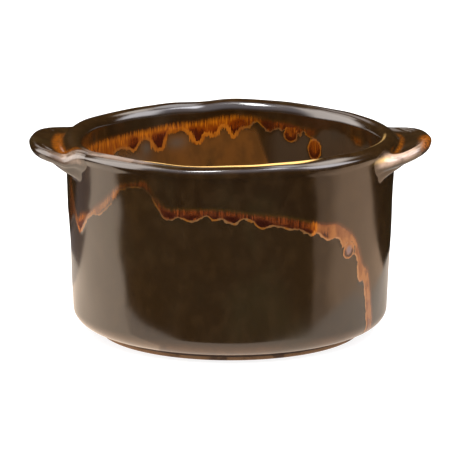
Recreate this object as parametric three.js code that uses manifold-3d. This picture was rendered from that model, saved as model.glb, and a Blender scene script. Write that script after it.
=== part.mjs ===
// Round stoneware ramekin with two lug handles, standing on a low foot ring.
// Millimetres, +Z up. The origin is the centre of the foot on the table, and the lugs lie along X.
import * as THREE from "three";
import { mergeVertices } from "three/addons/utils/BufferGeometryUtils.js";
import Module from "manifold-3d";

const wasm = await Module();
wasm.setup();

// Pot: a straight wall that opens upwards from a rounded heel and ends in a rounded lip
const height = 54.5; // table to the crest of the lip
const lipDiameter = 90; // across the widest part of the lip
const lipThickness = 5; // of the rounded lip, inside to outside
const lipRise = 1.6; // of the outer round of the lip, up to its crest
const lipInnerRise = 3; // of the inner round, which is longer
const neckInset = 0.4; // how far the wall stays inside the lip, just under it
const neckDepth = 3.3; // crest of the lip down to the neck
const baseDiameter = 85.2; // outside, where the wall meets the heel
const heelHeight = 5; // rise of the rounded heel, from the foot to the wall
const wallThickness = 4.6; // where the wall meets the floor
const floorThickness = 4.7;
const cornerRadius = 8; // inside, between the floor and the wall

// Foot ring: a low band of bare clay under the floor
const footDiameter = 71.7;
const footHeight = 1.8;
const footWidth = 5.5; // of the band, inside to outside
const footEdge = 0.6; // radius of the two edges that meet the table

// Lugs: squarish ovals in plan, dished on top, with an underside that slopes down to the wall
const lugWidth = 35;
const lugReach = 9; // beyond the lip
const lugRoot = 7; // inside the lip, to the centre of the oval
const lugSquareness = 2.7; // exponent of the oval: 2 is an ellipse
const lugDrop = 0.6; // crest of the lip down to the edge of the lug at its tip
const lugTilt = 4; // of the edge, which sinks from the tip to the pot, in degrees
const lugNose = 1.8; // radius of the rounded edge
const lugDishDepth = 0.8;
const lugDishSlope = 4; // width of the slope from the edge into the dish
const lugSlope = 20; // of the underside, in degrees
const lugFlare = 4; // how far the foot of each side spreads where it runs onto the wall
const lugFlareStart = 60; // bearing from the tip where the spread begins, in degrees
const slipJoint = 0.3; // thickness of the slip between a lug and the pot

// Facets
const turns = 96; // round the pot
const arcSteps = 4; // in a quarter round, and half the steps of a profile's arc
const footSteps = 1; // the same for the small edges of the foot
const lugBearings = 60; // round a lug
const samePoint = 1e-6; // points of a profile this close are one

// Derived sizes
const lipRadius = lipDiameter / 2;
const lipHalf = lipThickness / 2;
const lipMiddle = height - lipRise; // height of the lip's widest part
const lipCrest = lipRadius - lipHalf; // distance of the lip's crest from the axis
const baseRadius = baseDiameter / 2;
const footRadius = footDiameter / 2;
const heelTop = footHeight + heelHeight;
const neckHeight = height - neckDepth;
const floorHeight = footHeight + floorThickness;
const cavityRadius = baseRadius - wallThickness; // inside, at the foot of the wall
const lugCentre = lipRadius - lugRoot;
const lugTip = lipRadius + lugReach;
const lugLength = lugTip - lugCentre;
const tiltRise = Math.tan(THREE.MathUtils.degToRad(lugTilt));
const slopeRise = Math.tan(THREE.MathUtils.degToRad(lugSlope));

const glaze = new THREE.MeshStandardMaterial({ name: "brown_glaze", color: 0x3b2a1a, roughness: 0.15 });
const bareClay = new THREE.MeshStandardMaterial({ name: "bare_clay", color: 0x9c7550, roughness: 0.85 });

// The points of a path, without the doubled ones where its curves meet
function profileOf(path, steps) {
  const points = path.getPoints(steps);
  return points.filter((p, i) => i === 0 || p.distanceTo(points[i - 1]) > samePoint);
}

// A profile of radius and height, turned about +Z
function turned(profile) {
  return new THREE.LatheGeometry(profile, turns).rotateX(Math.PI / 2);
}

function solidOf(geometry) {
  const bare = geometry.clone().deleteAttribute("normal").deleteAttribute("uv");
  const merged = mergeVertices(bare);
  const vertProperties = merged.attributes.position.array;
  const triVerts = new Uint32Array(merged.index.array);
  return new wasm.Manifold(new wasm.Mesh({ numProp: 3, vertProperties, triVerts }));
}

function geometryOf(solid) {
  const { vertProperties, triVerts } = solid.getMesh();
  const geometry = new THREE.BufferGeometry();
  geometry.setAttribute("position", new THREE.BufferAttribute(vertProperties, 3));
  geometry.setIndex(new THREE.BufferAttribute(triVerts, 1));
  geometry.computeVertexNormals();
  return geometry;
}

// Outside of the pot from the centre of its base up to the widest part of the lip, grown by a clearance
function outsideOfPot(clearance) {
  const lip = lipRadius + clearance;
  const neck = lip - neckInset;
  const ease = (lipMiddle - neckHeight) / 2;
  const path = new THREE.Path();
  path.moveTo(0, footHeight);
  path.lineTo(footRadius, footHeight);
  path.absellipse(footRadius, heelTop, baseRadius + clearance - footRadius, heelHeight, -Math.PI / 2, 0);
  path.lineTo(neck, neckHeight);
  path.bezierCurveTo(neck, neckHeight + ease, lip, lipMiddle - ease, lip, lipMiddle);
  return path;
}

function potGeometry() {
  const path = outsideOfPot(0);
  path.absellipse(lipCrest, lipMiddle, lipHalf, lipRise, 0, Math.PI / 2);
  path.absellipse(lipCrest, height - lipInnerRise, lipHalf, lipInnerRise, Math.PI / 2, Math.PI);
  path.lineTo(cavityRadius, floorHeight + cornerRadius);
  path.absarc(cavityRadius - cornerRadius, floorHeight + cornerRadius, cornerRadius, 0, -Math.PI / 2, true);
  path.lineTo(0, floorHeight);
  return turned(profileOf(path, arcSteps));
}

// All that lies inside the outer skin of the pot and of the slip on it, with the cavity filled
function potEnvelope() {
  const path = outsideOfPot(slipJoint);
  path.absellipse(lipCrest, lipMiddle, lipHalf + slipJoint, lipRise + slipJoint, 0, Math.PI / 2);
  path.lineTo(0, height + slipJoint);
  return solidOf(turned(profileOf(path, arcSteps)));
}

function footGeometry() {
  const inside = footRadius - footWidth;
  const path = new THREE.Path();
  path.moveTo(footRadius, footHeight);
  path.lineTo(inside, footHeight);
  path.absarc(inside + footEdge, footEdge, footEdge, Math.PI, 1.5 * Math.PI);
  path.absarc(footRadius - footEdge, footEdge, footEdge, 1.5 * Math.PI, 2 * Math.PI);
  path.lineTo(footRadius, footHeight);
  return turned(profileOf(path, footSteps));
}

// Distance from the centre of a lug's oval to its outline, at a bearing from the tip, with a spread of its sides
function lugOutline(bearing, spread) {
  const along = Math.abs(Math.cos(bearing)) / lugLength;
  const across = Math.abs(Math.sin(bearing)) / (lugWidth / 2);
  const oval = (along ** lugSquareness + across ** lugSquareness) ** (-1 / lugSquareness);
  const turnedAway = THREE.MathUtils.radToDeg(Math.abs(bearing));
  return oval + spread * THREE.MathUtils.smoothstep(turnedAway, lugFlareStart, 90);
}

// Height of a lug's edge
function lugEdge(x) {
  return height - lugDrop - (lugTip - x) * tiltRise;
}

// Height of the sloping underside, which leaves the rounded edge behind the tip
function lugUnderside(x) {
  const start = lugTip - lugNose;
  return lugEdge(start) - 2 * lugNose - (start - x) * slopeRise;
}

// One closed ring of a lug, set in from the outline, at a height that depends on the place along X
function lugRing(inset, spread, heightAt) {
  return Array.from({ length: lugBearings }, (_, i) => {
    const bearing = (2 * Math.PI * i) / lugBearings - Math.PI;
    const reach = lugOutline(bearing, spread) - inset;
    const x = lugCentre + reach * Math.cos(bearing);
    return new THREE.Vector3(x, reach * Math.sin(bearing), heightAt(x));
  });
}

// The rings of a lug from its underside, round its edge and into the dish
function lugRings() {
  const rings = [];
  for (let i = 0; i <= arcSteps; i++) {
    const turn = ((Math.PI / 2) * i) / arcSteps;
    const rise = 1 - Math.cos(turn);
    const heightAt = (x) => THREE.MathUtils.lerp(lugUnderside(x), lugEdge(x) - lugNose, rise);
    rings.push(lugRing(lugNose * (1 - Math.sin(turn)), lugFlare * (1 - rise), heightAt));
  }
  for (let i = 1; i <= arcSteps; i++) {
    const turn = ((Math.PI / 2) * i) / arcSteps;
    rings.push(lugRing(lugNose * (1 - Math.cos(turn)), 0, (x) => lugEdge(x) - lugNose * (1 - Math.sin(turn))));
  }
  for (let i = 1; i <= arcSteps; i++) {
    const sunk = lugDishDepth * THREE.MathUtils.smoothstep(i, 0, arcSteps);
    rings.push(lugRing(lugNose + (lugDishSlope * i) / arcSteps, 0, (x) => lugEdge(x) - sunk));
  }
  return rings;
}

// A closed skin through rings of equal length, lowest first, with a point that closes each end
function lofted(rings, bottom, top) {
  const count = rings[0].length;
  const points = [...rings.flat(), bottom, top];
  const bottomIndex = points.length - 2;
  const topIndex = points.length - 1;
  const lastRing = (rings.length - 1) * count;
  const index = [];
  for (let i = 0; i < count; i++) {
    const next = (i + 1) % count;
    for (let ring = 0; ring < lastRing; ring += count) {
      index.push(ring + i, ring + next, ring + count + next);
      index.push(ring + i, ring + count + next, ring + count + i);
    }
    index.push(bottomIndex, next, i);
    index.push(topIndex, lastRing + i, lastRing + next);
  }
  return new THREE.BufferGeometry().setFromPoints(points).setIndex(index);
}

// A lug on the +X side: the whole oval, less what the pot and its slip take
function lugGeometry() {
  const bottom = new THREE.Vector3(lugCentre, 0, lugUnderside(lugCentre));
  const top = new THREE.Vector3(lugCentre, 0, lugEdge(lugCentre) - lugDishDepth);
  const oval = solidOf(lofted(lugRings(), bottom, top));
  return geometryOf(oval.subtract(potEnvelope()));
}

function piece(name, geometry, material) {
  const mesh = new THREE.Mesh(geometry, material);
  mesh.name = name;
  return mesh;
}

const ramekin = new THREE.Group();
ramekin.name = "ramekin";
ramekin.add(piece("pot", potGeometry(), glaze));
ramekin.add(piece("foot_ring", footGeometry(), bareClay));

const lug = lugGeometry();
ramekin.add(piece("right_lug_handle", lug, glaze));
const leftLug = piece("left_lug_handle", lug, glaze);
leftLug.rotation.z = Math.PI;
ramekin.add(leftLug);

export default ramekin;
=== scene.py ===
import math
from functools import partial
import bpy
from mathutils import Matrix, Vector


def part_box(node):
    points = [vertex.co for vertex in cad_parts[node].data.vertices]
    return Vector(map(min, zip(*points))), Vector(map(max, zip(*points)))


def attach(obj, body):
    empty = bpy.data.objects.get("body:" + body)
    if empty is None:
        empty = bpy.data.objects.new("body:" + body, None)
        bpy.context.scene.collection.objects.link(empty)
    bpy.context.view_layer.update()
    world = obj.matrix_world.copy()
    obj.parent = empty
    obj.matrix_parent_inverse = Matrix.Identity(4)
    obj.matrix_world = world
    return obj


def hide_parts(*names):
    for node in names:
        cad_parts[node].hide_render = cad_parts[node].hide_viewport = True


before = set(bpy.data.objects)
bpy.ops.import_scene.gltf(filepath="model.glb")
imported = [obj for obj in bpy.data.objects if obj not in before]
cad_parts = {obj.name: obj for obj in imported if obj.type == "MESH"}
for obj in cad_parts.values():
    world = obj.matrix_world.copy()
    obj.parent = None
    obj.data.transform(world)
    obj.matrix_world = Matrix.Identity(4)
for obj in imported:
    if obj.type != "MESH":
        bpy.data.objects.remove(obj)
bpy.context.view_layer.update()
# Looks of a stoneware ramekin in a brown glaze that breaks to amber.
# Shapes are worked out in millimetres in the frame of the solids, and become metres when a mesh is made.
# A bearing is an angle round the axis in degrees. On the outside it counts from the front, on the inside from
# the back, and both count towards the right lug.
from types import SimpleNamespace

import bpy
import numpy as np

MM = 0.001


def box_mm(node):
    return [np.array(corner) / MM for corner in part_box(node)]


# Sizes that the solids give
POT_HIGH = box_mm("pot")[1]
FOOT_HIGH = box_mm("foot_ring")[1]
LUG_LOW, LUG_HIGH = box_mm("right_lug_handle")
HEIGHT = POT_HIGH[2]
LIP_R = POT_HIGH[0]
FOOT_R = FOOT_HIGH[0]
FOOT_H = FOOT_HIGH[2]
LUG_TIP = LUG_HIGH[0]

# Sizes of the pot's section
LIP_HALF = 2.5  # half the thickness of the lip
LIP_RISE = 1.6  # of the outer round of the lip, up to its crest
LIP_INNER_RISE = 3.0  # of the inner round, which is longer
LIP_Z = HEIGHT - LIP_RISE  # where the lip is widest
CREST_R = LIP_R - LIP_HALF
NECK_R = LIP_R - 0.4  # of the wall, just under the lip
NECK_Z = HEIGHT - 3.3
BASE_R = 42.6  # where the wall meets the heel
HEEL_H = 5.0
CAVITY_R = BASE_R - 4.6  # inside, at the foot of the wall
FLOOR_Z = FOOT_H + 4.7
CORNER_R = 8.0  # inside, between the floor and the wall
FOOT_WIDTH = 5.5
FOOT_EDGE = 0.6  # radius of the edges that meet the table

# Sizes of a lug: a dished tab with a bead along its edge
LUG_CENTRE = LIP_R - 7.0  # of the ovals that the tab and the bead follow
LUG_LENGTH = LUG_TIP - LUG_CENTRE
LUG_HALF_WIDTH = 17.5
LUG_SQUARENESS = 2.7  # exponent of the bead's oval: 2 is an ellipse
LUG_BEAD = 1.65  # radius of the bead
LUG_DISH = 0.55  # depth of the dish
LUG_SLOPE = math.radians(20)  # of the underside
LUG_TILT = math.radians(7)  # of the edge, which rises to the tip
LUG_EDGE = LUG_HIGH[2] + 0.1 + LUG_BEAD * math.tan(LUG_TILT)  # height of the edge at the tip
TAB_HALF_WIDTH = 21.0
TAB_SQUARENESS = 1.5
TAB_INSET = 1.1  # from the tab's oval to its side
TAB_DRAFT = 0.1  # how far the side leans in, for each millimetre down
TAB_TOP_ROUND = 0.8
TAB_UNDER_ROUND = 1.0
DISH_SLOPE = 4.0  # width of the slope from the bead into the dish
FLARE = 2.5  # of the bead, where it joins the lip
BEAD_FILLET = 0.7  # between the bead and the tab

# How the lugs grow out of the pot
FILLET = 3.2
TOP_FILLET = 5.0  # beside the lip, in front
BACK_FILLET = 1.6  # beside the lip, behind
FILLET_HEIGHTS = (NECK_Z - 3.0, NECK_Z + 1.0)  # where the wall's fillet turns into those beside the lip
FILLET_FRONT = (11, 16)  # and how far to the front
FILLET_BACK = (8, 14)  # and to the back
SKIRT_DEPTH = 0.6  # how far a lug reaches under the skin of the pot
SKIRT_SUNK = 0.04  # how far the rim of its fillet stays under that skin

# What differs between the lugs. Turn is 1 on the right and -1 on the left. Droop is how far the front has sunk
# at the pot, and it fades out between two distances along X. Dip is how far the front sinks beside the lip.
# Amber lies in the valley by the lip, between two distances from the pot, and may show at the tip. The front of
# the bead is pale where its glaze wears thin, and lighter still as a painted highlight, as far as its reach from
# the pot.
LUGS = {
    "right_lug_handle": {
        "turn": 1, "droop": 1.3, "droop_fade": (LIP_R - 2.0, LUG_TIP), "dip": 0.0,
        "valley": (0.5, 2.4), "valley_amber": 0.45, "tip_amber": 0.8, "worn_and_sheen": 1.0, "worn_and_sheen_reach": 10.5,
    },
    "left_lug_handle": {
        "turn": -1, "droop": -0.8, "droop_fade": (LIP_R - 4.1, LIP_R - 0.7), "dip": 0.5,
        "valley": (0.0, 3.8), "valley_amber": 0.6, "tip_amber": 0.0, "worn_and_sheen": 0.4, "worn_and_sheen_reach": 7.0,
    },
}
DIP_PLACE = (LIP_R - 0.8, 2.4)  # middle and half width of a dip, along X
SAG_FRONT = (3, 16)  # where droop and dip set in, towards the front
UNDERSIDE_SAG = 0.4  # share of them that the underside follows

# Fineness of the meshes
TURNS = 480
LUG_STEP = 0.42


# Curves


def straight(start, stop, steps):
    return np.linspace(start, stop, steps + 1)


def arc(centre, radii, start, stop, steps):
    turn = np.radians(np.linspace(start, stop, steps + 1))
    return np.column_stack((centre[0] + radii[0] * np.cos(turn), centre[1] + radii[1] * np.sin(turn)))


def chain(*stretches):
    return np.vstack([stretches[0]] + [stretch[1:] for stretch in stretches[1:]])


def smoothstep(value, low, high):
    share = np.clip((value - low) / (high - low), 0, 1)
    return share * share * (3 - 2 * share)


def window(value, start, full, fading, end):
    """Rises from 0 to 1 between the first two limits, and falls back to 0 between the last two."""
    return smoothstep(value, start, full) * (1 - smoothstep(value, fading, end))


def hump(value, middle, half_width):
    return np.exp(-(((value - middle) / half_width) ** 2))


def smooth_loop(knots, angle):
    """A smooth closed curve through knots of angle and value, read at angles in degrees."""
    knot, value = np.array(knots, float).T
    knot = np.concatenate((knot - 360, knot, knot + 360))
    value = np.tile(value, 3)
    slope = np.gradient(value, knot)
    angle = (np.asarray(angle) + 180) % 360 - 180
    i = np.searchsorted(knot, angle, side="right") - 1
    width = knot[i + 1] - knot[i]
    t = (angle - knot[i]) / width
    from_start = value[i] * (2 * t**3 - 3 * t**2 + 1) + slope[i] * width * (t**3 - 2 * t**2 + t)
    from_end = value[i + 1] * (3 * t**2 - 2 * t**3) + slope[i + 1] * width * (t**3 - t**2)
    return from_start + from_end


# The pot and its foot


def pot_section():
    """The pot's section from the centre of its underside, over the lip, to the centre of its floor."""
    underside = straight((0, FOOT_H), (FOOT_R, FOOT_H), 8)
    heel = arc((FOOT_R, FOOT_H + HEEL_H), (BASE_R - FOOT_R, HEEL_H), -90, 0, 14)
    wall = straight(heel[-1], (NECK_R, NECK_Z), 60)
    neck_z = np.linspace(NECK_Z, LIP_Z, 9)
    neck_r = NECK_R + (LIP_R - NECK_R) * smoothstep(neck_z, NECK_Z, LIP_Z)
    neck = np.column_stack((neck_r, neck_z))
    outer_lip = arc((CREST_R, LIP_Z), (LIP_HALF, LIP_RISE), 0, 90, 14)
    inner_lip = arc((CREST_R, HEIGHT - LIP_INNER_RISE), (LIP_HALF, LIP_INNER_RISE), 90, 180, 16)
    inside = straight(inner_lip[-1], (CAVITY_R, FLOOR_Z + CORNER_R), 52)
    corner = arc((CAVITY_R - CORNER_R, FLOOR_Z + CORNER_R), (CORNER_R, CORNER_R), 0, -90, 14)
    floor = straight(corner[-1], (0, FLOOR_Z), 10)
    return chain(underside, heel, wall, neck, outer_lip, inner_lip, inside, corner, floor)


def foot_section():
    """The closed section of the foot ring, from the outer edge of its top."""
    inner = FOOT_R - FOOT_WIDTH
    top = straight((FOOT_R, FOOT_H), (inner, FOOT_H), 4)
    inner_edge = arc((inner + FOOT_EDGE, FOOT_EDGE), (FOOT_EDGE, FOOT_EDGE), 180, 270, 5)
    outer_edge = arc((FOOT_R - FOOT_EDGE, FOOT_EDGE), (FOOT_EDGE, FOOT_EDGE), 270, 360, 5)
    inner_side = straight((inner, FOOT_H), inner_edge[0], 3)
    under = straight(inner_edge[-1], outer_edge[0], 6)
    outer_side = straight(outer_edge[-1], (FOOT_R, FOOT_H), 4)
    return chain(top, inner_side, inner_edge, under, outer_edge, outer_side)


def turned(section):
    """Points and faces of a section turned about the axis. It starts and ends there, or closes on itself."""
    bearing = np.linspace(0, 2 * np.pi, TURNS, endpoint=False)
    on_axis = section[0, 0] == 0
    rings = section[1:-1] if on_axis else section[:-1]
    x = np.outer(rings[:, 0], np.sin(bearing))
    y = np.outer(rings[:, 0], -np.cos(bearing))
    z = np.repeat(rings[:, 1:], TURNS, axis=1)
    points = np.stack((x, y, z), -1).reshape(-1, 3)
    column = np.arange(TURNS)
    following = (column + 1) % TURNS
    count = len(rings)
    faces = []
    for ring in range(count - 1 if on_axis else count):
        low = ring * TURNS
        high = (ring + 1) % count * TURNS
        faces += np.stack((low + column, low + following, high + following, high + column), 1).tolist()
    if on_axis:
        last = (count - 1) * TURNS
        first_pole, last_pole = len(points), len(points) + 1
        points = np.vstack((points, (0, 0, section[0, 1]), (0, 0, section[-1, 1])))
        faces += [(first_pole, int(b), int(a)) for a, b in zip(column, following)]
        faces += [(last_pole, last + int(a), last + int(b)) for a, b in zip(column, following)]
    return points, faces


# The unevenness of a piece made by hand: the lip rises and dips, and the wall isn't quite round

# Rise of the lip, as knots of a bearing and a height
LIP_WAVE = [
    (-178, 0.4), (-170, -0.15), (-158, -0.15), (-144, -0.3), (-90, -0.35), (-67, -0.85), (-50, -0.1),
    (-18, -0.27), (30, 0.45), (62, 0.1), (92, -0.2), (133, -0.3), (172, 0.35),
]
WAVE_START = 34.0  # height where the wall starts to follow the lip
# Small lumps along the lip: count round the pot, height and start
LIP_LUMPS = [(9, 0.06, 0.6), (16, 0.04, 2.4), (25, 0.012, 1.0)]
# Where only the lower half of the lip hangs lower: bearing, half width in degrees and depth
LIP_LENGTHENED = (-2.0, 26.0, 1.0)
LOWER_LIP = 0.8  # how far the lower half reaches up from where the lip is widest
# Where the lip hangs lower outside and has a squarer edge: bearing, half width in degrees, depth and
# squareness
LIP_SAGS = [(40.0, 17.0, 1.3, 0.9), (-46.0, 15.0, 0.7, 0.2)]
SAG_START = NECK_Z - 6.0  # height where the wall starts to follow a sag
# Waves of the wall: count round the pot, height, start, and the rise in which they turn by one radian
WALL_WAVES = [
    (1, 0.1, 3.1, 400.0), (2, 0.13, -1.6, 400.0), (3, 0.06, 1.9, 25.0), (7, 0.03, 0.4, 17.0),
    (11, 0.035, 2.2, 3.6), (16, 0.022, 0.7, -2.7), (5, 0.03, 1.1, 4.4),
]


def by_hand(points):
    """The points of a true pot, moved to where a potter's hand leaves them."""
    x, y, z = points.T
    bearing = np.arctan2(x, -y)
    front = np.degrees(bearing)
    reach = np.maximum(np.hypot(x, y), 1)
    lumps = sum(size * np.sin(count * bearing + start) for count, size, start in LIP_LUMPS)
    rise = smooth_loop(LIP_WAVE, front) * smoothstep(z, WAVE_START, HEIGHT)
    rise = rise + lumps * smoothstep(z, NECK_Z, HEIGHT - LIP_RISE / 2)
    rise = rise - lip_sag(front, reach, z)
    swell = sum(
        size * np.sin(count * bearing + start + z / length) for count, size, start, length in WALL_WAVES
    )
    swell = swell * smoothstep(z, FOOT_H, FOOT_H + HEEL_H)
    scale = 1 + swell / reach * smoothstep(reach, FOOT_R - FOOT_WIDTH, FOOT_R)
    return np.column_stack((x * scale, y * scale, z + rise))


def lip_sag(front, reach, z):
    """How far the lip and the wall under it hang lower, where the lip is lengthened or sags."""
    across = np.clip((reach - CREST_R) / LIP_HALF, 0, 1)
    on_lip = (z > LIP_Z) & (across > 0)
    under_lip = smoothstep(z, SAG_START, NECK_Z) * smoothstep(across, 0, 0.6)
    lower_lip = 1 - smoothstep(z, LIP_Z, LIP_Z + LOWER_LIP)
    middle, half_width, depth = LIP_LENGTHENED
    sag = depth * hump(front, middle, half_width) * np.where(on_lip, lower_lip, under_lip)
    for middle, half_width, depth, squareness in LIP_SAGS:
        sagging = hump(front, middle, half_width)
        power = 2 + squareness * sagging
        fuller = (1 - across**power) ** (1 / power) - np.sqrt(1 - across**2)
        sag = sag + depth * sagging * np.where(on_lip, across, under_lip) - LIP_RISE * fuller * on_lip
    return sag


# The lugs: a solid that is described by how far a point lies outside it

POT_SECTION = pot_section()
OUTSIDE = POT_SECTION[: np.argmax(POT_SECTION[:, 1]) + 1]
WALL_START = 36.0  # height from which a lug can touch the wall
WALL_BY_LUG = np.vstack((OUTSIDE[OUTSIDE[:, 1] > WALL_START], (0, HEIGHT)))


def rounded_meet(a, b, radius):
    """What lies in both of two solids, with a round edge."""
    at_edge = np.hypot(np.maximum(a + radius, 0), np.maximum(b + radius, 0))
    return np.minimum(np.maximum(a, b), -radius) + at_edge


def rounded_join(a, b, size):
    """What lies in either of two solids, with a fillet."""
    near = np.maximum(size - np.abs(a - b), 0) / size
    return np.minimum(a, b) - near**3 * size / 6


def outline_distance(points, outline):
    """Signed distance in the plane to a line of points, with the solid on its left."""
    best = np.full(len(points), np.inf)
    side = np.zeros(len(points))
    for start, way in zip(outline[:-1], np.diff(outline, axis=0)):
        offset = points - start
        along = np.clip(offset @ way / (way @ way), 0, 1)
        gap = np.sum((offset - along[:, None] * way) ** 2, axis=1)
        closer = gap < best
        best[closer] = gap[closer]
        side[closer] = (way[0] * offset[:, 1] - way[1] * offset[:, 0])[closer]
    return -np.sign(side) * np.sqrt(best)


def pot_distance(points):
    section = np.column_stack((np.hypot(points[:, 0], points[:, 1]), points[:, 2]))
    return outline_distance(section, WALL_BY_LUG)


def lug_plan(x, y, half_width, squareness):
    """How far a point lies outside an oval round the middle of a lug, seen from above."""
    bearing = np.arctan2(y, x - LUG_CENTRE)
    along = np.abs(np.cos(bearing)) / LUG_LENGTH
    across = np.abs(np.sin(bearing)) / half_width
    oval = (along**squareness + across**squareness) ** (-1 / squareness)
    return np.hypot(x - LUG_CENTRE, y) - oval


def tab_plan(x, y):
    return lug_plan(x, y, TAB_HALF_WIDTH, TAB_SQUARENESS)


def bead_plan(x, y):
    """The bead follows a squarer oval than the tab, and flares with the tab where it joins the lip."""
    return rounded_join(lug_plan(x, y, LUG_HALF_WIDTH, LUG_SQUARENESS), tab_plan(x, y), FLARE)


def lug_sag(x, y, lug):
    """How far the front of a lug sinks at the pot and beside the lip."""
    at_the_pot = lug["droop"] * (1 - smoothstep(x, *lug["droop_fade"]))
    beside_the_lip = lug["dip"] * hump(x, *DIP_PLACE)
    return (at_the_pot + beside_the_lip) * smoothstep(-y * lug["turn"], *SAG_FRONT)


def lug_edge(x, y, lug):
    """Height of the edge of a lug, which rises to the tip."""
    return LUG_EDGE - (LUG_TIP - x) * math.tan(LUG_TILT) - lug_sag(x, y, lug)


def lug_distance(points, lug):
    """How far a point lies outside a lug on the right: a dished tab with a bead along its edge."""
    x, y, z = points.T
    plan = bead_plan(x, y)
    edge = lug_edge(x, y, lug)
    nose = LUG_TIP - LUG_BEAD
    under_nose = LUG_EDGE - LUG_BEAD * (2 + math.tan(LUG_TILT))
    underside = under_nose - (nose - x) * math.tan(LUG_SLOPE) - UNDERSIDE_SAG * lug_sag(x, y, lug) - z
    in_dish = smoothstep(-plan, LUG_BEAD, LUG_BEAD + DISH_SLOPE)
    top = z - edge + LUG_DISH * in_dish
    depth = np.maximum(edge - LUG_BEAD - z, 0)
    side = tab_plan(x, y) + TAB_INSET + TAB_DRAFT * depth
    upper = rounded_meet(side, top, TAB_TOP_ROUND)
    tab = rounded_meet(upper, underside * math.cos(LUG_SLOPE), TAB_UNDER_ROUND)
    bead = np.hypot(plan + LUG_BEAD, z - (edge - LUG_BEAD)) - LUG_BEAD
    return rounded_join(tab, bead, BEAD_FILLET)


def lug_skin(points, lug):
    """The lug with its fillet, and a thin skirt that stays under the skin of the pot."""
    pot = pot_distance(points)
    tab = lug_distance(points, lug)
    by_lip = smoothstep(points[:, 2], *FILLET_HEIGHTS)
    to_front = -points[:, 1] * lug["turn"]
    in_front = by_lip * smoothstep(to_front, *FILLET_FRONT)
    behind = by_lip * smoothstep(-to_front, *FILLET_BACK)
    fillet = FILLET + (TOP_FILLET - FILLET) * in_front + (BACK_FILLET - FILLET) * behind
    grown = rounded_join(pot + SKIRT_SUNK, tab, fillet)
    skirted = np.maximum(np.maximum(grown, -pot - SKIRT_DEPTH), tab - fillet)
    inside_crest = CREST_R + SKIRT_DEPTH - np.hypot(points[:, 0], points[:, 1])
    return np.maximum(skirted, inside_crest)


# The closed skin of such a solid, as a mesh

SLOPE_STEP = 0.02
FIRST_ROUNDS = 4  # of moving the points onto the skin
EVENING_ROUNDS = 4  # of evening the points out
LATER_ROUNDS = 2  # of moving them back, after each evening


def slope_of(field, points):
    moves = np.eye(3) * SLOPE_STEP
    return np.stack([(field(points + move) - field(points - move)) / (2 * SLOPE_STEP) for move in moves], 1)


def settled(field, points, rounds):
    """Points moved onto the surface where a field is zero."""
    for _ in range(rounds):
        slope = slope_of(field, points)
        steepness = np.maximum(np.sum(slope**2, axis=1), 0.25)
        points = points - slope * (field(points) / steepness)[:, None]
    return points


def evened(points, faces):
    """Each point moved halfway to the middle of its neighbours."""
    total = np.zeros_like(points)
    count = np.zeros(len(points))
    for a, b in ((0, 1), (1, 2), (2, 3), (3, 0)):
        for here, there in ((a, b), (b, a)):
            np.add.at(total, faces[:, here], points[faces[:, there]])
            np.add.at(count, faces[:, here], 1)
    return (points + total / count[:, None]) / 2


def skin_of(field, low, high, step):
    """Points and faces of the surface where a field is zero, with one point in each cell that it crosses."""
    axes = [np.arange(a, b, step) for a, b in zip(low, high)]
    grid = np.stack(np.meshgrid(*axes, indexing="ij"), -1)
    inside = field(grid.reshape(-1, 3)).reshape(grid.shape[:3]) < 0
    ends = (slice(None, -1), slice(1, None))
    corners = sum(inside[i, j, k].astype(int) for i in ends for j in ends for k in ends)
    crossed = (corners > 0) & (corners < 8)
    number = np.full(crossed.shape, -1)
    number[crossed] = np.arange(np.count_nonzero(crossed))
    points = np.argwhere(crossed) * step + np.array(low) + step / 2
    faces = np.vstack([faces_across(axis, inside, number) for axis in range(3)])
    points = settled(field, points, FIRST_ROUNDS)
    for _ in range(EVENING_ROUNDS):
        points = settled(field, evened(points, faces), LATER_ROUNDS)
    return points, faces.tolist()


def faces_across(axis, inside, number):
    """A face for each edge of the grid along an axis that crosses the skin, through the cells round it."""
    start = np.take(inside, range(inside.shape[axis] - 1), axis)
    crossing = start != np.take(inside, range(1, inside.shape[axis]), axis)
    edge = np.argwhere(crossing)
    ring = []
    for du, dv in ((-1, -1), (0, -1), (0, 0), (-1, 0)):
        cell = edge.copy()
        cell[:, (axis + 1) % 3] += du
        cell[:, (axis + 2) % 3] += dv
        ring.append(number[tuple(cell.T)])
    quads = np.stack(ring, 1)
    leaving = start[crossing]
    return np.where(leaving[:, None], quads, quads[:, ::-1])


# Where the two coats of glaze meet. The upper coat runs into a band of amber, rust and dark pools. The
# band's lower edge and its top are lines of knots, each a bearing and a height.

OUTER_EDGE = [
    (-175, 16), (-150, 24), (-138, 21), (-120, 31), (-105, 29), (-92, 35), (-80, 31), (-72, 34),
    (-66, 30.8), (-62, 34), (-59, 36), (-51, 38.4), (-46, 41.4), (-41, 45.7), (-37, 47.4), (-33, 47.9),
    (-30, 47), (-27.5, 45), (-25.2, 42), (-24, 40.4), (-22.6, 39.8), (-20.3, 39.7), (-18.6, 40.3),
    (-16.4, 40.3), (-14.8, 39.8), (-12.5, 39.7), (-9.2, 40.9), (-7.6, 41.2), (-6.5, 40.5), (-2.6, 40.4),
    (-1, 39.6), (0.8, 39.2), (2.4, 39.3), (3.4, 40.1), (4.5, 40.4), (7.6, 39.7), (9.2, 38.4),
    (11.1, 37.8), (13, 37.9), (14, 38.3), (16, 38), (18.8, 37.5), (22, 36.8), (25, 36.4), (27.5, 35.4),
    (30, 34.7), (32.3, 35.1), (34.9, 33.3), (37.6, 32.7), (40, 33), (42, 32), (43.5, 28.6), (46, 27),
    (49, 27.6), (51, 25.8), (52.5, 20), (55, 19), (57, 16), (58.5, 7.7), (61, 2), (66, -10), (150, -10),
    (168, 6),
]
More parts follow.
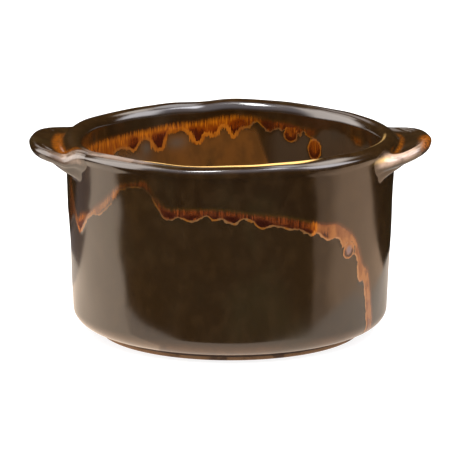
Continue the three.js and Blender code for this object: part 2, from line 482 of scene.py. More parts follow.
OUTER_TOP = [
    (-175, 20), (-150, 28), (-120, 34), (-92, 38), (-79, 39), (-75.5, 48), (-73.5, 48.5), (-71.5, 40),
    (-63.5, 37.2), (-53.5, 40.9), (-46.5, 44.6), (-40.5, 48.4), (-35, 49.9), (-29, 50), (-26, 46),
    (-23, 43.8), (-17, 43.5), (-3.5, 43.6), (4, 42.8), (12, 41.8), (18, 41.2), (24, 40.1), (30, 38.6),
    (35, 37.7), (40, 37.4), (43.5, 36), (48.5, 33.3), (52, 29.8), (55, 24.8), (60, 20.2), (61.5, 16.3),
    (64.5, 5.8), (68, -6), (150, -6), (168, 10),
]
INNER_EDGE = [
    (-170, 45), (-158, 43), (-149, 46), (-138, 44), (-126, 46.5), (-117, 43.5), (-104, 46), (-92, 43),
    (-80, 43), (-70, 41), (-62, 42), (-56, 41.4), (-53, 44), (-50, 44.4), (-46, 44), (-42, 43), (-39, 45),
    (-36.5, 45.7), (-34, 44.6), (-32.5, 42.6), (-30, 42), (-27.8, 42.6), (-25.8, 46), (-22.5, 46.4),
    (-19, 46.8), (-16.8, 45.6), (-15.2, 43.4), (-13, 43), (-11, 43.5), (-9.8, 45.2), (-7.5, 44.7),
    (-5.5, 44.9), (-4, 46.5), (-1, 46.3), (0.2, 44.7), (1.8, 44), (3.8, 45.9), (6, 46.9), (8, 47.3),
    (11, 49), (13, 47.6), (14.8, 46.5), (16.5, 46), (18, 46.8), (21, 46.9), (22.3, 45.3), (24.5, 44.4),
    (27, 44.4), (29.2, 45.9), (31, 47.4), (33, 46.2), (36, 46.4), (39, 48.6), (44, 49.6), (54, 49),
    (62, 47), (70, 49), (84, 47), (95, 45), (106, 46.6), (120, 44), (132, 46), (146, 43.6), (160, 46),
]
INNER_TOP = [
    (-170, 49), (-120, 49.5), (-76, 49), (-56, 48.7), (-44, 48.7), (-36, 48.9), (-29, 49.3), (-16, 49.6),
    (-3.5, 50.3), (8, 50.6), (16, 50.1), (23, 50), (28, 49.3), (33, 48.8), (40, 49.2), (60, 49.4),
    (90, 49), (130, 49.6),
]
# Along each edge, as bearing and share: how much of the band shows, how dark its pools are and how bright its
# amber is. Above 1, amber turns to tan, which is a painted reflection of the side lights.
OUTER_RUNS = [
    (-170, 0.7), (-90, 0.6), (-76, 0.45), (-72, 0.45), (-67, 0.8), (-60, 0.75), (-45, 0.5), (-32, 0.5),
    (-27, 0.5), (-22, 1), (60, 1), (110, 0.5),
]
OUTER_POOLS = [
    (-170, 0.6), (-90, 0.7), (-70, 1.3), (-58, 1.3), (-53, 0), (-27, 0), (-22, 1), (36, 1), (40, 0.2),
    (50, 0), (58, 0.2), (110, 0),
]
OUTER_BRIGHT_AND_SHEEN = [
    (-170, 0.4), (-72, 0.5), (-60, 1.5), (-47, 1.4), (-39, 0.25), (-28, 0.2), (-10, 0.05), (18, 0.1),
    (28.5, 0.15), (31.5, 1.3), (36, 1.7), (44, 1.8), (60, 1.8), (75, 1), (110, 0.4),
]
INNER_RUNS = [
    (-170, 1), (-20, 1), (25, 1), (33, 0.8), (38, 0.3), (42, 0), (54, 0), (61, 0.6), (68, 0), (90, 0.7),
    (120, 1),
]
INNER_POOLS = [(-170, 1), (-62, 0.2), (-52, 0.3), (-46, 1), (25, 1), (40, 0.8), (70, 0.4), (120, 1)]
INNER_BRIGHT = [(-170, 0.9), (-20, 1), (0, 0.8), (14, 0.2), (40, 0.3), (120, 0.7)]
# Single drips: bearing, height, half width, half height, and how bright and how grey the middle is. A middle
# above 1 turns tan and a grey one lavender, a painted reflection of the side lights.
OUTER_DRIPS = [(46.4, 29.0, 2.2, 2.5, 1.8, 0.9)]
INNER_DRIPS = [(36.6, 42.9, 2.3, 3.0, 0.5, 0.0), (25.2, 46.2, 2.2, 2.1, 0.45, 0.0)]
DRIP_STEEPNESS = 1.8
# Grey patches on the inner wall: bearing, height, half width in degrees and half height
GREY_PATCHES = [(-53.3, 43.6, 1.8, 2.6), (-36, 43.4, 2.6, 1.9), (-22, 43.8, 4, 1.7), (-45, 40, 8, 2)]
GREY_PATCH_SHARE = 0.6
# Stretches of bearings, each where it starts, is full, begins to fade and ends: grey, and darkened as painted
# shade, on the inner wall; gold, and a painted highlight, on the lip
GREY_STRETCH = (12, 22, 110, 150)
GREY_STRETCH_SHARE = 0.22
GOLD_FRONT = (-36, -27, 28, 36)
GOLD_SWELL = (-32, 16, 22, 36)
GOLD_RIGHT = (56, 66, 82, 92)
LIP_HIGHLIGHT_STRETCH = (-70, -62, -34, -26)
PAINTED_SHADE_STRETCH = (-100, -70, -40, -15)
# The same round the lip, from 0 outside to 90 at its crest
GOLD_FRONT_CREST = (84, 93, 112, 140)
GOLD_SWELL_TURN = 22  # how much farther out the gold starts where it swells
GOLD_RIGHT_CREST = (96, 104, 112, 124)
GOLD_RIGHT_SHARE = 0.4
LIP_HIGHLIGHT_CREST = (45, 62, 100, 118)
LIP_HIGHLIGHT_SHARE = 0.3
# Warm brown on the inner wall: heights where it fades out, and its slanting end on the right as a bearing, a
# height, degrees for each millimetre down, half the width of the change, and heights where the slant sets in
WARM_TOP = (45, 49)
WARM_SLANT = (11.0, 46.0, 0.56, 0.8, (16, 34))
WARM_BEHIND = (105, 135)  # bearings where it comes back
# On the left the warm brown gives way to darker coat, as painted shade.
WARM_LEFT = (24, 40)  # heights where it turns dull on the left
# A spot of gold under the lip: its middle and half width each way
GOLD_SPOT = {"bearing": (65.0, 4.0), "height": (51.3, 0.6), "reach": (LIP_R, 1.2)}

EDGE_LIMIT = 12.0  # distance from an edge beyond which it no longer matters
EDGE_KNOT_STEP = 0.5  # in degrees, when a distance to an edge is measured
LOBE_SPAN = range(-7, 8, 2)  # bearings on either side that smooth the lobes of an edge away
GLAZE_STEP = 0.09  # thickness of the upper coat
GLAZE_ROLL = 0.07  # height of the roll along its edge


def edge_distance(bearing, z, edge, radius):
    """How far a point of a wall lies above the edge of the upper coat, measured along the wall."""
    way = np.arange(-200, 200, EDGE_KNOT_STEP)
    line = np.column_stack((np.radians(way) * radius, smooth_loop(edge, way)))
    distance = np.clip(z - smooth_loop(edge, bearing), -EDGE_LIMIT, EDGE_LIMIT)
    near = np.abs(distance) < EDGE_LIMIT
    wall = np.column_stack((np.radians(bearing[near]) * radius, z[near]))
    distance[near] = -outline_distance(wall, line)
    return distance


def edge_nearby(edge, bearing):
    """Height of an edge, without its lobes."""
    return np.mean([smooth_loop(edge, bearing + step) for step in LOBE_SPAN], axis=0)


def glaze_of_pot(points):
    """What the glaze does at each point of the pot, as named values for its material."""
    x, y, z = points.T
    reach = np.hypot(x, y)
    middle_of_wall = np.interp(z, (FLOOR_Z, HEIGHT), ((CAVITY_R + BASE_R) / 2, CREST_R))
    outside = (reach > middle_of_wall) | (z < FLOOR_Z - 0.01)
    front = np.degrees(np.arctan2(x, -y))
    bearing = np.where(outside, front, np.degrees(np.arctan2(x, y)))

    def along(outer, inner):
        return np.where(outside, smooth_loop(outer, bearing), smooth_loop(inner, bearing))

    def above(outer, inner):
        outer_distance = edge_distance(bearing, z, outer, LIP_R)
        return np.where(outside, outer_distance, edge_distance(bearing, z, inner, CAVITY_R))

    edge = above(OUTER_EDGE, INNER_EDGE)
    nearby = np.where(outside, edge_nearby(OUTER_EDGE, bearing), edge_nearby(INNER_EDGE, bearing))
    pools = pool_share(outside, nearby, nearby - along(OUTER_EDGE, INNER_EDGE), z)
    values = {
        "edge": edge,
        "top": -above(OUTER_TOP, INNER_TOP),
        "runs": along(OUTER_RUNS, INNER_RUNS),
        "pools": along(OUTER_POOLS, INNER_POOLS) * pools,
        "bright": along(OUTER_BRIGHT_AND_SHEEN, INNER_BRIGHT),
        "thin": thin_on_lip(reach, z, front) + gold_spot(points),
        # a painted highlight on the crest of the lip
        "worn_and_sheen": painted_highlight_on_lip(reach, z, front),
        "amber": np.zeros(len(points)),
        "warm": np.where(outside, 0.0, warm_inside(bearing, z)),
        "cool": np.where(outside, 0.0, cool_inside(bearing, z, edge)),
        # low on the heel: a painted reflection of the pale floor
        "heel": np.where(outside, 1 - smoothstep(z, FOOT_H + 2, FOOT_H + HEEL_H), 0.0),
    }
    for side, drips in ((outside, OUTER_DRIPS), (~outside, INNER_DRIPS)):
        for drip in drips:
            add_drip(values, drip, side, bearing, reach, z)
    return values


def pool_share(outside, nearby, lobe, z):
    """How much of a pool a point holds: pools fill the lobes of an edge, and more so low down."""
    in_lobe = smoothstep(lobe, np.where(outside, -0.8, -1.3), 0.8)
    upper = smoothstep(nearby + np.where(outside, 0.9, 3.0) - z, -1.0, 1.2)
    lower = smoothstep(nearby + 0.35 - z, -1.0, 1.2)
    return np.where(outside, 0.35 + 0.65 * in_lobe, in_lobe) * (0.55 * upper + 0.6 * lower)


def add_drip(values, drip, side, bearing, reach, z):
    """Puts a drip on one side of the wall: an oval with a dark ring low down and a middle of its own."""
    centre, height, half_width, half_height, middle, grey = drip
    across = np.radians(bearing - centre) * reach / half_width
    inward = 1 - np.hypot(across, (z - height) / half_height)
    low_down = smoothstep((height - z) / half_height, -0.5, 0.3)
    own_values = {
        "edge": inward * min(half_width, half_height) * DRIP_STEEPNESS,
        "top": EDGE_LIMIT,
        "runs": 1.0,
        "pools": 1.1 * low_down * (1 - smoothstep(inward, 0.45, 0.7)),
        "bright": middle,
        # a grey middle: on the outer drip, a painted reflection of the side lights
        "cool": grey * smoothstep(inward, 0.4, 0.75),
    }
    wins = side & (inward > -0.15) & (np.abs(across) < 2)
    for key, own in own_values.items():
        values[key] = np.where(wins, own, values[key])


def round_lip(reach, z):
    """How far round the lip a point lies, in degrees: 0 outside, 90 at the crest."""
    return np.degrees(np.arctan2((z - LIP_Z) / LIP_RISE, (reach - CREST_R) / LIP_HALF))


def thin_on_lip(reach, z, front):
    """Where the glaze has drawn off the crest of the lip and shows gold: a line that swells on the right."""
    turn = round_lip(reach, z)
    on_lip = z > LIP_Z
    start, full, fading, end = GOLD_FRONT_CREST
    swell = GOLD_SWELL_TURN * window(front, *GOLD_SWELL)
    front_gold = window(turn, start - swell, full - swell, fading, end) * window(front, *GOLD_FRONT)
    right_gold = window(turn, *GOLD_RIGHT_CREST) * window(front, *GOLD_RIGHT)
    return (front_gold + GOLD_RIGHT_SHARE * right_gold) * on_lip


def painted_highlight_on_lip(reach, z, front):
    """A painted highlight on the crest of the lip, at the left of the front."""
    crest = window(round_lip(reach, z), *LIP_HIGHLIGHT_CREST) * (z > LIP_Z)
    return LIP_HIGHLIGHT_SHARE * crest * window(front, *LIP_HIGHLIGHT_STRETCH)


def gold_spot(points):
    """A spot of gold under the lip, in front of the right lug."""
    x, y, z = points.T
    front = np.degrees(np.arctan2(x, -y))
    at_bearing = hump(front, *GOLD_SPOT["bearing"])
    return at_bearing * hump(z, *GOLD_SPOT["height"]) * hump(np.hypot(x, y), *GOLD_SPOT["reach"])


def cool_inside(bearing, z, edge):
    """Where the inner wall is grey: in patches under the band on the left, and all along the right."""
    patches = sum(
        hump(bearing, middle, half_width) * hump(z, height, half_height)
        for middle, height, half_width, half_height in GREY_PATCHES
    )
    grey = GREY_PATCH_SHARE * patches + GREY_STRETCH_SHARE * window(bearing, *GREY_STRETCH)
    return grey * smoothstep(-edge, 0.0, 0.8)


def warm_inside(bearing, z):
    """Where the inner wall is warm brown: below the band, up to a slanting line, and less on the left, where
    painted shade darkens it.
    """
    below_band = 1 - smoothstep(z, *WARM_TOP)
    start, height, lean, half, heights = WARM_SLANT
    slant = start + (height - z) * lean
    beyond = window(bearing, slant - half, slant + half, *WARM_BEHIND) * smoothstep(z, *heights)
    # painted shade on the left of the inner wall
    left = window(bearing, *PAINTED_SHADE_STRETCH) * smoothstep(z, *WARM_LEFT)
    return below_band * (1 - 0.92 * beyond) * (1 - 0.3 * left)


def glaze_of_lug(points, lug):
    """What the glaze does at each point of a lug on the right."""
    x, y, z = points.T
    pot = pot_distance(points)
    edge = lug_edge(x, y, lug)
    to_front = -y * lug["turn"]
    inset = -bead_plan(x, y)
    on_top = smoothstep(z, edge - 2.2, edge - 1.2)
    start, stop = lug["valley"]
    in_valley = window(pot, start, start + 0.6, 0.6 * stop, stop) * on_top
    in_valley = in_valley * smoothstep(inset, 1.6, 3.0) * (1 - smoothstep(-to_front, 5, 11))
    tip = lug["tip_amber"] * smoothstep(x, LUG_TIP - 4, LUG_TIP - 1.5) * smoothstep(to_front, -2, 3) * on_top
    on_bead = smoothstep(z, edge - 2.6, edge - 1.2) * (1 - smoothstep(inset, 1.6, 2.6))
    by_the_lip = smoothstep(pot, 0.0, 1.0) * (1 - smoothstep(pot, 0.4 * lug["worn_and_sheen_reach"], lug["worn_and_sheen_reach"]))
    in_front = smoothstep(to_front, 2, 8) * (1 - tip)
    none = np.zeros(len(points))
    return {
        "edge": none + EDGE_LIMIT,
        "top": none - EDGE_LIMIT,
        "thin": gold_spot(points * (lug["turn"], lug["turn"], 1)),
        # the front of the bead: pale where its glaze wears thin, and lighter still as a painted highlight
        "worn_and_sheen": lug["worn_and_sheen"] * on_bead * by_the_lip * in_front,
        "amber": np.maximum(lug["valley_amber"] * in_valley, tip),
        **{key: none for key in ("runs", "pools", "bright", "warm", "cool", "heel")},
    }


def glaze_relief(edge, runs):
    """Thickness of the upper coat, which ends in a rounded roll along its edge."""
    roll = hump(edge, 0.7, 0.7)
    return (GLAZE_STEP * smoothstep(edge, -0.15, 0.6) + GLAZE_ROLL * roll) * np.clip(runs, 0, 1)


# Shader nodes


class Signal:
    """What a node gives out. Sums, differences and products of signals add the nodes that work them out."""

    def __init__(self, graph, socket):
        self.graph = graph
        self.socket = socket

    def __add__(self, other):
        return self.graph.math("ADD", self, other)

    def __sub__(self, other):
        return self.graph.math("SUBTRACT", self, other)

    def __mul__(self, other):
        return self.graph.math("MULTIPLY", self, other)

    def rise(self, low, high, start=0.0, stop=1.0):
        """Goes smoothly from start to stop while this signal goes from low to high."""
        inputs = {"Value": self, "From Min": low, "From Max": high, "To Min": start, "To Max": stop}
        return self.graph.add("ShaderNodeMapRange", inputs, interpolation_type="SMOOTHSTEP")

    def fall(self, low, high):
        return self.rise(low, high, 1, 0)


class Graph:
    """A node tree. Each way to add a node gives back the signal of one of its outputs."""

    def __init__(self, tree):
        self.tree = tree
        tree.nodes.clear()

    def add(self, kind, inputs, output=0, **settings):
        node = self.tree.nodes.new(kind)
        for name, value in settings.items():
            setattr(node, name, value)
        for name, value in inputs.items():
            if isinstance(value, Signal):
                self.tree.links.new(value.socket, node.inputs[name])
            else:
                node.inputs[name].default_value = value
        return Signal(self, node.outputs[output])

    def end(self, kind, shader):
        node = self.tree.nodes.new(kind)
        self.tree.links.new(shader.socket, node.inputs["Surface"])

    def value(self, name):
        return self.add("ShaderNodeAttribute", {}, "Fac", attribute_name=name)

    def math(self, operation, a, b=0.0):
        return self.add("ShaderNodeMath", {0: a, 1: b}, operation=operation)

    def mix(self, share, a, b):
        return self.add("ShaderNodeMix", {0: share, 6: a, 7: b}, 2, data_type="RGBA")

    def place(self, upward=1.0):
        """Where a point lies on its piece. A low share of the upward measure draws noise out along Z."""
        where = self.add("ShaderNodeTexCoord", {}, "Object")
        return self.add("ShaderNodeMapping", {"Vector": where, "Scale": (1, 1, upward)})

    def noise(self, upward, scale, detail=2.0, roughness=0.5):
        inputs = {"Vector": self.place(upward), "Scale": scale, "Detail": detail, "Roughness": roughness}
        return self.add("ShaderNodeTexNoise", inputs, "Fac")

    def bump(self, height, strength, distance):
        return self.add("ShaderNodeBump", {"Height": height, "Strength": strength, "Distance": distance})


def new_material(name):
    material = bpy.data.materials.new(name)
    material.use_nodes = True
    return material, Graph(material.node_tree)


def coat_with(graph, inputs):
    graph.end("ShaderNodeOutputMaterial", graph.add("ShaderNodeBsdfPrincipled", inputs))


# Materials


def colour(red, green, blue):
    """A colour given as 0 to 255 on screen, as the linear values that the nodes take."""
    linear = [((c / 255 + 0.055) / 1.055) ** 2.4 if c > 10 else c / 255 / 12.92 for c in (red, green, blue)]
    return (*linear, 1.0)


UPPER_COAT = colour(31, 18, 5)
LOWER_COAT = colour(35, 22, 7)
# Lighter brown low on the heel: a painted reflection of the pale floor
HEEL_PAINTED_REFLECTION = colour(84, 56, 32)
WARM_COAT = colour(94, 57, 22)
COOL_COAT = colour(76, 70, 60)
OLIVE = colour(42, 33, 12)
SPECKLE = colour(50, 34, 15)
AMBER = colour(176, 98, 10)
RUST = colour(108, 46, 4)
OUTER_RUST = colour(92, 40, 6)
DARK_RUST = colour(46, 15, 3)
FADE = colour(46, 32, 5)
# Tan on the inner rim of a run. With the two below it also makes the painted reflection of the side lights on
# the outer band.
TAN_AND_SHEEN = colour(132, 78, 34)
DARK_PAINTED_SHEEN = colour(92, 42, 12)
PALE_PAINTED_SHEEN = colour(146, 98, 58)
POOL = colour(38, 8, 2)
INNER_POOL = colour(60, 16, 3)
RED_POOL = colour(50, 15, 3)
INNER_RED_POOL = colour(108, 44, 3)
RIM_OF_RUN = colour(106, 73, 40)
GOLDEN_RIM = colour(112, 66, 14)
# Grey-lavender where grey meets a run; on the middle of the outer drip it is a painted reflection of the side
# lights
LAVENDER_AND_SHEEN = colour(92, 80, 84)
# Pale tone where the glaze wears thin on the beads, also laid on as a painted highlight there and on the crest
# of the lip
WORN_AND_SHEEN = colour(172, 144, 124)
GOLD = colour(214, 172, 104)
CLAY = colour(128, 91, 55)
CLAY_DARK = colour(60, 40, 25)
GLAZE_IOR = 1.9


def glaze_material():
    """A glossy brown glaze in two coats. Where they meet, it runs into streaks and pools with a pale rim."""
    material, graph = new_material("brown_glaze")
    noise = SimpleNamespace(
        streak=graph.noise(0.06, 2600, 2.0, 0.6),
        fine=graph.noise(0.5, 900, 3.0),
        mottle=graph.noise(0.7, 320, 3.0),
        cloud=graph.noise(0.6, 70, 3.0),
    )
    noise.stray = noise.streak - 0.5
    share = glaze_shares(graph, noise)
    streaked = streaked_tone(graph, noise, share)
    tone = graph.mix(share.run, coat_tone(graph, noise, share), run_tone(graph, noise, share, streaked))
    tone = graph.mix(share.pool, tone, pool_tone(graph, share))
    # grey in a run turns lavender; on the outer drip's middle this is a painted reflection of the side lights
    tone = graph.mix(share.cool * share.run, tone, LAVENDER_AND_SHEEN)
    broken_rim = share.rim * noise.mottle.rise(0.35, 0.6, 0.35, 0.95)
    tone = graph.mix(broken_rim, tone, rim_tone(graph, noise, share))
    tone = graph.mix(graph.value("amber") * noise.fine.rise(0.3, 0.6, 0.3, 0.8), tone, streaked)
    # pale wear on the lugs' beads, and painted highlights on them and on the crest of the lip
    tone = graph.mix(graph.value("worn_and_sheen") * noise.mottle.rise(0.3, 0.6, 0.4, 0.9), tone, WORN_AND_SHEEN)
    tone = graph.mix(graph.value("thin"), tone, GOLD)
    coat_with(graph, {
        "Base Color": tone,
        "Roughness": noise.cloud.rise(0.3, 0.75, 0.12, 0.19),
        "Normal": graph.bump(noise.cloud, 0.25, 0.0004),
        "IOR": GLAZE_IOR,
    })
    return material


def glaze_shares(graph, noise):
    """How much of a run, a pool and a rim each place shows, from the values on the mesh and some noise."""
    runs = graph.value("runs")
    top = graph.value("top")
    bright = graph.value("bright")
    inside = bright.rise(0.3, 0.9) * bright.fall(1.0, 1.3)
    ragged = graph.value("edge") + (noise.fine - 0.5) * 1.5 + (noise.mottle - 0.5) * 0.8
    drawn = top + noise.stray * 1.1

    faint = runs.fall(0.35, 0.8)
    run = ragged.rise(-0.1, faint * 1.6 + 0.25) * drawn.rise(-0.6, 1.7) * runs

    unsteady = noise.mottle - 0.5 + noise.stray * 1.4
    pooled = graph.value("pools") + unsteady * 0.9
    pool = ragged.rise(0.4, 1.1) * pooled.rise(0.05, 0.85) * run

    combed = ragged + noise.stray * 2.4 * inside
    spread = inside * 0.65 + noise.fine.rise(0.4, 0.65, 0, 0.35)
    rim = combed.rise(-0.12, 0.05) * (combed - spread).fall(0.1, 0.4) * (runs - faint * 0.2)
    # tan marks where bright goes above 1: a painted reflection of the side lights
    return SimpleNamespace(
        top=top, bright=bright, ragged=ragged, drawn=drawn, run=run, pool=pool, pooled=pooled, rim=rim,
        inside=inside, tan=bright.rise(1.0, 1.6), cool=graph.value("cool"),
    )


def coat_tone(graph, noise, share):
    """The two coats, warmer and greyer in places, with olive clouds and speckles, and lighter low on the heel as
    a painted reflection of the pale floor.
    """
    tone = graph.mix(share.ragged.rise(-0.3, 0.5), LOWER_COAT, UPPER_COAT)
    tone = graph.mix(graph.value("warm"), tone, WARM_COAT)
    tone = graph.mix(graph.value("heel"), tone, HEEL_PAINTED_REFLECTION)
    tone = graph.mix(noise.cloud.rise(0.5, 0.72, 0, 0.5), tone, OLIVE)
    tone = graph.mix(noise.mottle.rise(0.4, 0.7, 0, 0.4), tone, SPECKLE)
    return graph.mix(share.cool, tone, COOL_COAT)


def streaked_tone(graph, noise, share):
    """Streaks of amber and rust, with more rust lower down."""
    paler = noise.streak - share.top.rise(0.8, 3.2, 0, 0.09)
    return graph.mix(paler.rise(0.36, 0.64), RUST, AMBER)


def run_tone(graph, noise, share, streaked):
    """A run: dull rust where it isn't bright, streaked where it is, and tan where it is brightest, a painted
    reflection of the side lights.
    """
    dull = graph.mix(noise.streak.rise(0.38, 0.62), DARK_RUST, OUTER_RUST)
    dull = graph.mix(share.drawn.rise(0.0, 1.4), FADE, dull)
    painted_sheen = graph.mix(noise.mottle.rise(0.4, 0.62, 0, 0.7), TAN_AND_SHEEN, DARK_PAINTED_SHEEN)
    painted_sheen = graph.mix(share.drawn.rise(0.2, 1.2), DARK_PAINTED_SHEEN, painted_sheen)
    tone = graph.mix(share.bright.rise(0.0, 1.0), dull, streaked)
    return graph.mix(share.tan, tone, painted_sheen)


def pool_tone(graph, share):
    red = graph.mix(share.inside, RED_POOL, INNER_RED_POOL)
    deep = graph.mix(share.inside, POOL, INNER_POOL)
    return graph.mix(share.pooled.rise(0.6, 1.3), red, deep)


def rim_tone(graph, noise, share):
    tone = graph.mix(noise.mottle.rise(0.48, 0.58), RIM_OF_RUN, GOLDEN_RIM)
    tone = graph.mix(share.inside, tone, graph.mix(0.35, AMBER, TAN_AND_SHEEN))
    # the rim of a run turns pale where the band is brightest, as a painted reflection of the side lights
    return graph.mix(share.tan, tone, PALE_PAINTED_SHEEN)


def clay_material():
    """Bare clay with dark stains and grains, and darker towards the top of the ring."""
    material, graph = new_material("bare_clay")
    stain = graph.noise(1.0, 160, 4.0)
    grain = graph.noise(1.0, 2600, 2.0)
    height = graph.add("ShaderNodeSeparateXYZ", {0: graph.place()}, "Z")
    tone = graph.mix(stain.rise(0.5, 0.62, 0, 0.8), CLAY, CLAY_DARK)
    tone = graph.mix(height.rise(0.5 * FOOT_H * MM, 0.65 * FOOT_H * MM), tone, CLAY_DARK)
    tone = graph.mix(grain.rise(0.6, 0.7, 0, 0.5), tone, CLAY_DARK)
    coat_with(graph, {
        "Base Color": tone,
        "Roughness": stain.rise(0.3, 0.7, 0.6, 0.85),
        "Normal": graph.bump(grain, 0.5, 0.0002),
    })
    return material


# The pieces

SKIN_ROOM = 2.0  # left round a lug's fillet when its skin is looked for
SKIN_INWARD = 8.0  # how far inside the middle of its oval the search begins


def mesh_piece(name, points, faces, material, values, node):
    """A piece of the object, with what its material reads at each point, in place of a node of the solids."""
    mesh = bpy.data.meshes.new(name)
    mesh.from_pydata((points * MM).tolist(), [], faces)
    mesh.polygons.foreach_set("use_smooth", [True] * len(mesh.polygons))
    for key, numbers in values.items():
        layer = mesh.attributes.new(key, "FLOAT", "POINT")
        layer.data.foreach_set("value", np.asarray(numbers, np.float32))
    mesh.materials.append(material)
    mesh.update()
    piece = bpy.data.objects.new(name, mesh)
    bpy.context.scene.collection.objects.link(piece)
    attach(piece, "root")
    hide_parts(node)


def outward(points, faces):
    """The normal at each point of a surface."""
    mesh = bpy.data.meshes.new("normals")
    mesh.from_pydata(points.tolist(), [], faces)
    normals = np.zeros(len(points) * 3, np.float32)
    mesh.vertex_normals.foreach_get("vector", normals)
    bpy.data.meshes.remove(mesh)
    return normals.reshape(-1, 3)


def make_pot(material):
    points, faces = turned(POT_SECTION)
    values = glaze_of_pot(points)
    relief = glaze_relief(values["edge"], values["runs"])
    relief = relief * smoothstep(points[:, 2], FOOT_H + 0.2, FOOT_H + 3)
    points = by_hand(points + outward(points, faces) * relief[:, None])
    mesh_piece("glazed_pot", points, faces, material, values, "pot")


def make_lug(node, lug, material):
    """A lug worked out on the right, and turned to its own side."""
    margin = 3 * LUG_STEP
    reach = TAB_HALF_WIDTH + FILLET + SKIN_ROOM
    low = (LUG_CENTRE - SKIN_INWARD, -reach, LUG_LOW[2] - FILLET - SKIN_ROOM)
    high = (LUG_TIP + margin, reach, HEIGHT + margin)
    points, faces = skin_of(partial(lug_skin, lug=lug), low, high, LUG_STEP)
    values = glaze_of_lug(points, lug)
    placed = by_hand(points * (lug["turn"], lug["turn"], 1))
    mesh_piece(f"glazed_{node}", placed, faces, material, values, node)


def make_foot(material):
    points, faces = turned(foot_section())
    mesh_piece("clay_foot", points, faces, material, {}, "foot_ring")


# Floor, light and camera

VIEW_ELEVATION = math.radians(13.285)
VIEW_DISTANCE = 1337.0
VIEW_AIM = (-0.08, 0.0, 27.36)
VIEW_WIDTH = 125.2  # of the picture, at the axis of the pot
VIEW_DEPTHS = (50.0, 50000.0)  # nearest and farthest that the camera sees
SENSOR = 36.0

FLOOR_SIZE = 12000.0
FLOOR_TONE = (0.3, 0.3, 0.3, 1.0)
FLOOR_GLOW = 0.85

# What the glaze mirrors of the floor: two pale ovals round the pot, each with its middle on Y and its
# half lengths, and bright boards to its left and right. A board starts at the pot and spreads between two
# edges. One edge is the line on the floor that a bearing of the wall mirrors, so it shows as an upright
# line on the wall. It is soft: the light is full at the first bearing and ends at the second. A lean, in
# degrees, starts it nearer to the front, so that the line on the wall slants. The other edge is a line
# along X at a given Y.
NEAR_FLOORS = [("near_floor", 28.0, (84.0, 84.0)), ("front_floor", -14.0, (87.0, 42.0))]
NEAR_FLOOR_LIGHT = (0.90, 0.76, 0.64)
NEAR_FLOOR_STEPS = 180
BOARDS = [
    ("left_board", -44.6, -42.8, 15.0, 45.0, (1.42, 1.15, 0.91)),
    ("left_back_board", -44.6, -42.8, 15.0, 105.0, (0.22, 0.18, 0.17)),
    ("right_board", 41.0, 31.5, 0.0, 52.0, (1.06, 0.73, 0.50)),
    ("right_veil", 31.8, 30.6, 0.0, 52.0, (0.52, 0.36, 0.25)),
]
BOARD_STEPS = 8
BOARD_REACH = 3000.0
SHEET_DEPTH = 0.3  # under the floor, for a sheet whose light adds up to 1

# Bright panels round the pot, each with its bearings from the camera's side, its elevations, the softness
# of its sides and of its top and bottom, all in degrees, and its brightness
PANELS = {
    "front_room": ((-80, 80), (18, 88), 50, 32, (0.80, 0.82, 0.94)),
    "left_box": ((-122, -64), (4, 60), 16, 12, (3.7, 3.4, 3.2)),
    "left_box_top": ((-138, -116), (33, 58), 10, 8, (2.3, 2.1, 1.95)),
    "left_back_box": ((-174, -150), (27, 46), 10, 8, (1.15, 1.05, 1.0)),
    "right_box": ((60, 98), (16, 50), 14, 12, (4.3, 4.2, 4.4)),
    "right_box_top": ((96, 138), (44, 60), 12, 10, (3.6, 3.25, 3.0)),
    "top_lamp": ((-40, -16), (51, 70), 3, 4, (24.0, 24.0, 24.0)),
    "over_lamp": ((56, 160), (62, 74), 16, 6, (2.8, 2.8, 2.9)),
    "side_lamp": ((33, 54), (44, 69), 8, 6, (8.0, 8.0, 8.6)),
}
ROOM = (0.028, 0.019, 0.010, 1.0)
BACKGROUND = (1.0, 1.0, 1.0, 1.0)

KEY_SIZE = 3000.0
KEY_POWER = 110.0
KEY_PLACE = (0.0, -400.0, 2200.0)
KEY_TILT = math.radians(10)


def pale_material():
    material, graph = new_material("pale_floor")
    coat_with(graph, {
        "Base Color": FLOOR_TONE,
        "Emission Color": (1, 1, 1, 1),
        "Emission Strength": FLOOR_GLOW,
        "Roughness": 0.9,
        "Specular IOR Level": 0.0,
    })
    return material


def staged(name, points, material):
    """A flat face that belongs to the stage."""
    mesh = bpy.data.meshes.new(name)
    mesh.from_pydata((np.array(points) * MM).tolist(), [], [range(len(points))])
    mesh.materials.append(material)
    obj = bpy.data.objects.new(name, mesh)
    bpy.context.scene.collection.objects.link(obj)
    return obj


def mirrored(name, outline, light):
    """A bright sheet under the floor, which only reflections see. The brighter of two sheets lies on top."""
    points = [(x, y, -SHEET_DEPTH / sum(light)) for x, y in outline]
    material, graph = new_material(name)
    glow = graph.add("ShaderNodeEmission", {"Color": (*light, 1.0), "Strength": 1.0})
    graph.end("ShaderNodeOutputMaterial", glow)
    obj = staged(name, points, material)
    obj.visible_camera = False
    obj.visible_diffuse = False
    obj.visible_shadow = False


def board(bearing, lean, back):
    """Corners of a board: from the wall along what a bearing mirrors, and back along X at a given Y."""
    turn = math.radians(bearing)
    side = math.copysign(1, bearing)
    start = math.radians(bearing - side * lean)
    near = (BASE_R * math.sin(start), -BASE_R * math.cos(start))
    far = (near[0] + BOARD_REACH * math.sin(2 * turn), near[1] - BOARD_REACH * math.cos(2 * turn))
    corners = [near, far, (side * BOARD_REACH, back), (0.0, back)]
    return corners[:: int(side)]


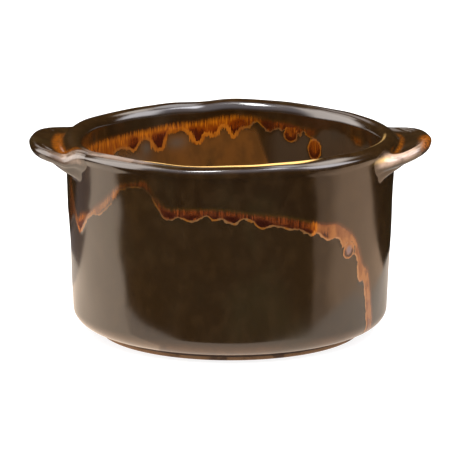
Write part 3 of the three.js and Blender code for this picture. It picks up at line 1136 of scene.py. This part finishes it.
def make_floor():
    """A pale floor, and what the glaze mirrors of it, as in a studio that is dark in front and behind."""
    half = FLOOR_SIZE / 2
    corners = [(-half, -half, 0), (half, -half, 0), (half, half, 0), (-half, half, 0)]
    floor = staged("floor", corners, pale_material())
    floor.visible_glossy = False
    for name, middle, radii in NEAR_FLOORS:
        oval = arc((0, middle), radii, 0, 360, NEAR_FLOOR_STEPS)[:-1]
        mirrored(name, oval, NEAR_FLOOR_LIGHT)
    for name, full, end, lean, back, light in BOARDS:
        for step in range(BOARD_STEPS):
            bearing = full + (end - full) * step / (BOARD_STEPS - 1)
            share = 1 - step / BOARD_STEPS
            mirrored(f"{name}_{step}", board(bearing, lean, back), [share * part for part in light])


def make_world():
    """A dark room with bright panels, which the camera sees as plain white."""
    world = bpy.data.worlds.new("studio")
    bpy.context.scene.world = world
    world.use_nodes = True
    graph = Graph(world.node_tree)
    ray = graph.add("ShaderNodeTexCoord", {}, "Generated")
    x, y, z = (graph.add("ShaderNodeSeparateXYZ", {0: ray}, axis) for axis in "XYZ")
    bearing = graph.math("ARCTAN2", x, y * -1.0) * math.degrees(1)
    elevation = graph.math("ARCSINE", z) * math.degrees(1)
    light = ROOM
    for bearings, elevations, side_soft, end_soft, brightness in PANELS.values():
        seen_through = 1.0
        for angle, (low, high), soft in ((bearing, bearings, side_soft), (elevation, elevations, end_soft)):
            half = soft / 2
            within = angle.rise(low - half, low + half) * angle.fall(high - half, high + half)
            seen_through = within * seen_through
        light = graph.mix(seen_through, light, (*brightness, 1.0))
    by_camera = graph.add("ShaderNodeLightPath", {}, "Is Camera Ray")
    light = graph.mix(by_camera, light, BACKGROUND)
    graph.end("ShaderNodeOutputWorld", graph.add("ShaderNodeBackground", {"Color": light, "Strength": 1.0}))


def make_key_light():
    """A broad soft light from above, which lights the floor and the clay but isn't mirrored in the glaze."""
    lamp = bpy.data.lights.new("key", "AREA")
    lamp.shape = "DISK"
    lamp.size = KEY_SIZE * MM
    lamp.energy = KEY_POWER
    obj = bpy.data.objects.new("key", lamp)
    obj.location = [part * MM for part in KEY_PLACE]
    obj.rotation_euler = (KEY_TILT, 0, 0)
    obj.visible_glossy = False
    bpy.context.scene.collection.objects.link(obj)


def make_camera():
    camera = bpy.data.cameras.new("camera")
    camera.sensor_fit = "HORIZONTAL"
    camera.sensor_width = SENSOR
    camera.lens = SENSOR * VIEW_DISTANCE / VIEW_WIDTH
    camera.clip_start, camera.clip_end = (depth * MM for depth in VIEW_DEPTHS)
    obj = bpy.data.objects.new("camera", camera)
    back = VIEW_DISTANCE * math.cos(VIEW_ELEVATION)
    up = VIEW_DISTANCE * math.sin(VIEW_ELEVATION)
    obj.location = (VIEW_AIM[0] * MM, (VIEW_AIM[1] - back) * MM, (VIEW_AIM[2] + up) * MM)
    obj.rotation_euler = (math.pi / 2 - VIEW_ELEVATION, 0, 0)
    bpy.context.scene.collection.objects.link(obj)
    bpy.context.scene.camera = obj


bpy.context.scene.view_settings.view_transform = "Standard"
make_camera()
make_world()
make_key_light()
make_floor()
glaze = glaze_material()
make_pot(glaze)
for lug_node, lug_values in LUGS.items():
    make_lug(lug_node, lug_values, glaze)
make_foot(clay_material())
